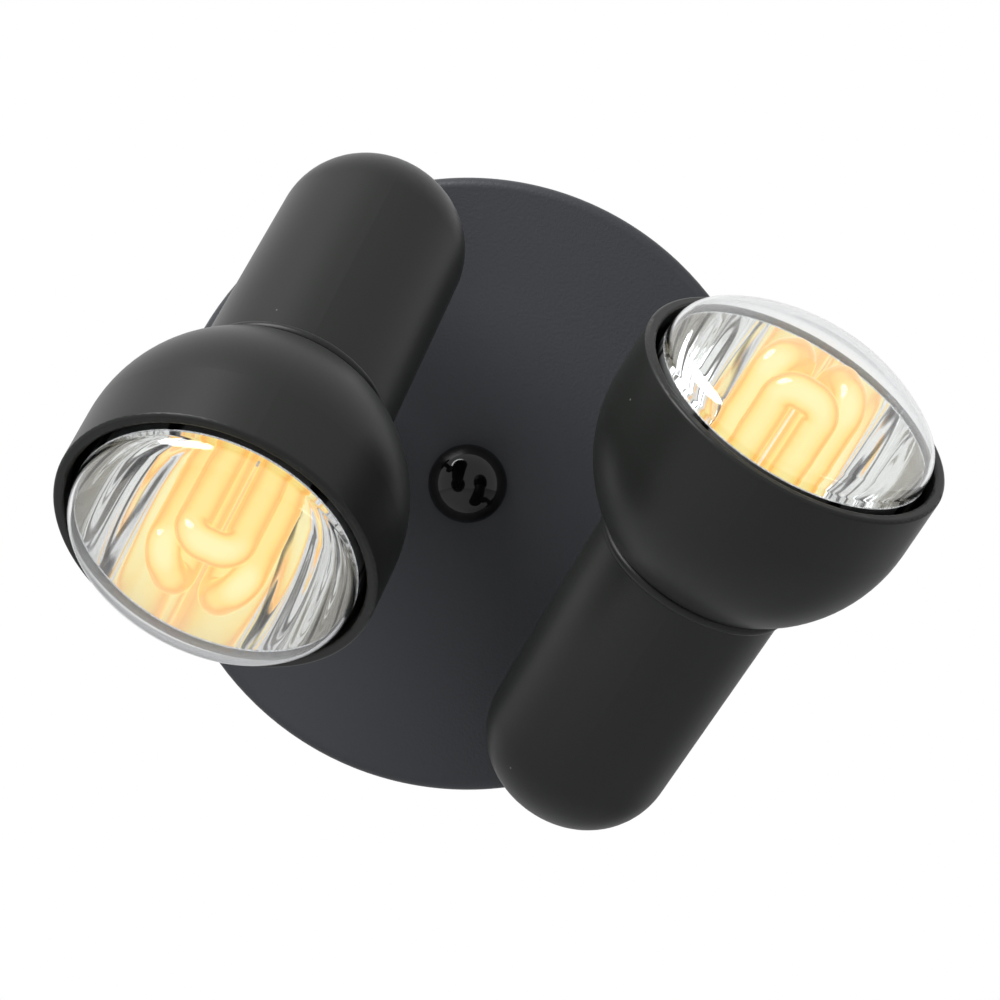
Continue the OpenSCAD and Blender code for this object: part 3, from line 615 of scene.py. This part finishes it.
def turned(name, profile, place, columns, closedRows=True, ripple=None):
    # The point (r, h) of the profile at angle t lies at (r cos t, r sin t, h) in the piece's own frame
    profile = np.asarray(profile) * mm
    angle = np.linspace(0, 2 * np.pi, columns, endpoint=False)
    radius = np.repeat(profile[:, 0:1], columns, axis=1)
    height = np.repeat(profile[:, 1:2], columns, axis=1)
    t = np.repeat(angle[None, :], len(profile), axis=0)
    if ripple is not None:
        radius = radius + ripple(t, height)
    own = np.stack([radius * np.cos(t), radius * np.sin(t), height], axis=-1).reshape(-1, 3)
    steps = np.linalg.norm(np.diff(profile, axis=0), axis=1)
    length = np.concatenate([[0], np.cumsum(steps)]) / (grid["wallUnit"] * mm)
    along = np.repeat(length[:, None], columns, axis=1)
    turnPlace = np.stack([np.cos(t), np.sin(t), along], axis=-1).reshape(-1, 3)
    faces = gridFaces(len(profile), columns, closedRows)
    return meshFrom(name, placed(own, place), faces, {"turnPlace": turnPlace})


def tubesAlong(name, paths, radius, place, columns):
    # A circle of the radius carried along each flat path, square to it, and drawn in to its ends
    allPoints, allFaces, first = [], [], 0
    angle = np.linspace(0, 2 * np.pi, columns, endpoint=False)
    for path, flatNormal in paths:
        path, flatNormal = np.asarray(path) * mm, np.asarray(flatNormal)
        along = np.gradient(path, axis=0)
        along /= np.linalg.norm(along, axis=1)[:, None]
        across = np.cross(along, flatNormal)
        ring = (np.cos(angle)[None, :, None] * flatNormal[None, None, :]
                + np.sin(angle)[None, :, None] * across[:, None, :])
        points = path[:, None, :] + radius * mm * ring
        ends = np.repeat(path[[0, -1]][:, None, :], columns, axis=1)
        points = np.concatenate([ends[:1], points, ends[1:]], axis=0)
        allFaces.append(gridFaces(len(points), columns, False) + first)
        allPoints.append(points.reshape(-1, 3))
        first += points.shape[0] * columns
    return meshFrom(name, placed(np.concatenate(allPoints), place), np.concatenate(allFaces))


def dress(piece, body, node, finish):
    piece.data.materials.append(materials[finish])
    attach(piece, body)
    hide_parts(node)


# Lamps, with stations in millimetres back from the rim
lamp = {
    "pivotStation": 111.4,  # where the lamp's joint lies
    "radius": 40.0,
    "proud": 19.5,
    "domeRadius": 62.0,
    "shoulderRadius": 7.0,
    "wall": 1.2,
    "joint": 0.5,  # between the clear front and the mirror
    "glassColumns": 180,
    "domePoints": 40,
    "shoulderPoints": 16,
    "skirtPoints": 3,
    "mirrorRear": 58.0,
    "mirrorRearRadius": 21.0,
    "mirrorPower": 2.0,
    "mirrorColumns": 360,
    "mirrorPoints": 60,
}


def headPlace(side):
    # Own frame of a head: X away from the wall, Z back along the head's axis, origin at the rim's centre
    joint = joints[side + "_lamp_turn"]
    beam = Vector(joint["axis"]).normalized()
    outward = Vector((0, -1, 0))
    away = (outward - beam * outward.dot(beam)).normalized()
    back = -beam
    across = back.cross(away)
    rim = Vector(joint["pos_m"]) + beam * lamp["pivotStation"] * mm
    return Matrix((
        (away.x, across.x, back.x, rim.x),
        (away.y, across.y, back.y, rim.y),
        (away.z, across.z, back.z, rim.z),
        (0, 0, 0, 1),
    ))


def glassFace(inset):
    # Dome, shoulder and short skirt as tangent arcs and a line, from the axis out, moved in by the inset
    centreZ = -lamp["proud"] + lamp["domeRadius"]
    bend = lamp["domeRadius"] - lamp["shoulderRadius"]
    shoulderX = lamp["radius"] - lamp["shoulderRadius"]
    shoulderZ = centreZ - math.sqrt(bend ** 2 - shoulderX ** 2)
    lean = math.degrees(math.asin(shoulderX / bend)) - 90
    side = lamp["radius"] - inset
    dome = arc((0, centreZ), lamp["domeRadius"] - inset, -90, lean, lamp["domePoints"])
    shoulder = arc((shoulderX, shoulderZ), lamp["shoulderRadius"] - inset, lean, 0, lamp["shoulderPoints"])
    skirt = line((side, shoulderZ), (side, lamp["joint"]), lamp["skirtPoints"])
    return np.concatenate([dome, shoulder[1:], skirt[1:]])


def mirrorFace(inset):
    # The square of the radius falls with a power of the distance from the joint, so the front runs straight
    z = np.linspace(lamp["joint"], lamp["mirrorRear"], lamp["mirrorPoints"])
    share = (z - lamp["joint"]) / (lamp["mirrorRear"] - lamp["joint"])
    fall = (lamp["radius"] ** 2 - lamp["mirrorRearRadius"] ** 2) * share ** lamp["mirrorPower"]
    return np.stack([np.sqrt(lamp["radius"] ** 2 - fall) - inset, z], axis=1)


def shell(face):
    # Closed section of a blown wall: the outer face, then the inner one back to the start
    return np.concatenate([face(0), face(lamp["wall"])[::-1]])


flutes = {
    "depth": 0.09,
    "count": 30,
    "wander": 1.6,  # how far a flute's phase swings along the wall
    "wanderAlong": 4,
    "wanderRound": 2,
    "uneven": 1.1,  # how unequal the flutes' widths are
    "unevenRound": 5,
    "unevenStart": 1.9,
    "sides": (0.3, 0.7),  # sizes of sin t between which the flutes fade in
    "endPower": 0.5,
}


def mirrorFlutes(t, height):
    # Sine flutes round the wall whose phase wanders, faded out at both ends and where sin t is small
    share = np.clip((height / mm - lamp["joint"]) / (lamp["mirrorRear"] - lamp["joint"]), 0, 1)
    low, high = flutes["sides"]
    fade = np.sin(np.pi * share) ** flutes["endPower"]
    fade = fade * np.clip((np.abs(np.sin(t)) - low) / (high - low), 0, 1)
    wander = flutes["wander"] * np.sin(flutes["wanderAlong"] * share + flutes["wanderRound"] * t)
    uneven = flutes["uneven"] * np.sin(flutes["unevenRound"] * t + flutes["unevenStart"])
    return flutes["depth"] * mm * fade * np.sin(flutes["count"] * t + wander + uneven)


tubes = {
    "count": 3,
    "diameter": 9.5,
    "pitch": 13.0,
    "plane": 9.99,  # from the lamp's axis to a tube's plane
    "front": -13.5,
    "rear": 54.0,
    "bendRadius": 5.0,
    "columns": 28,
    "legPoints": 24,
    "bendPoints": 12,
}


def tubePath(turn):
    # Leg, quarter bend, bridge, quarter bend and leg, in a plane beside the lamp's axis
    half, bend = tubes["pitch"] / 2, tubes["bendRadius"]
    top = tubes["front"] + tubes["diameter"] / 2
    leg = line((-half, tubes["rear"]), (-half, top + bend), tubes["legPoints"])
    corner = arc((-half + bend, top + bend), bend, 180, 270, tubes["bendPoints"])
    first = np.concatenate([leg, corner[1:], [(0, top)]])
    flat = np.concatenate([first, first[-2::-1] * [-1, 1]])
    angle = math.radians(turn)
    outward = np.array([math.cos(angle), math.sin(angle), 0])
    sideways = np.array([-math.sin(angle), math.cos(angle), 0])
    path = tubes["plane"] * outward + flat[:, :1] * sideways + flat[:, 1:] * np.array([0, 0, 1])
    return path, outward


for side in sides:
    place = headPlace(side)
    body = side + "_lamp"
    glass = turned(side + "Glass", shell(glassFace), place, lamp["glassColumns"])
    dress(glass, body, side + "_lamp_glass", "clearGlass")
    wall = turned(side + "Mirror", shell(mirrorFace), place, lamp["mirrorColumns"], ripple=mirrorFlutes)
    dress(wall, body, side + "_lamp_reflector", "mirrorCoat")
    paths = [tubePath(360 / tubes["count"] * index) for index in range(tubes["count"])]
    bent = tubesAlong(side + "Tubes", paths, tubes["diameter"] / 2, place, tubes["columns"])
    dress(bent, body, side + "_lamp_tubes", "tubeGlow")
print("lamps made")

# Cap nut: half a ball with a flat foot, in front of the plate
capNut = {"radius": 11.6, "front": 20.0, "columns": 128, "points": 48}
wallPlace = Matrix.Rotation(math.radians(90), 4, "X")  # own Z into the room
ball = np.concatenate([
    arc((0, capNut["front"]), capNut["radius"], 90, 0, capNut["points"]),
    [(0, capNut["front"])],
])
nut = turned("capNut", ball, wallPlace, capNut["columns"], closedRows=False)
dress(nut, "root", "cap_nut", "glossLacquer")
print("cap nut made")
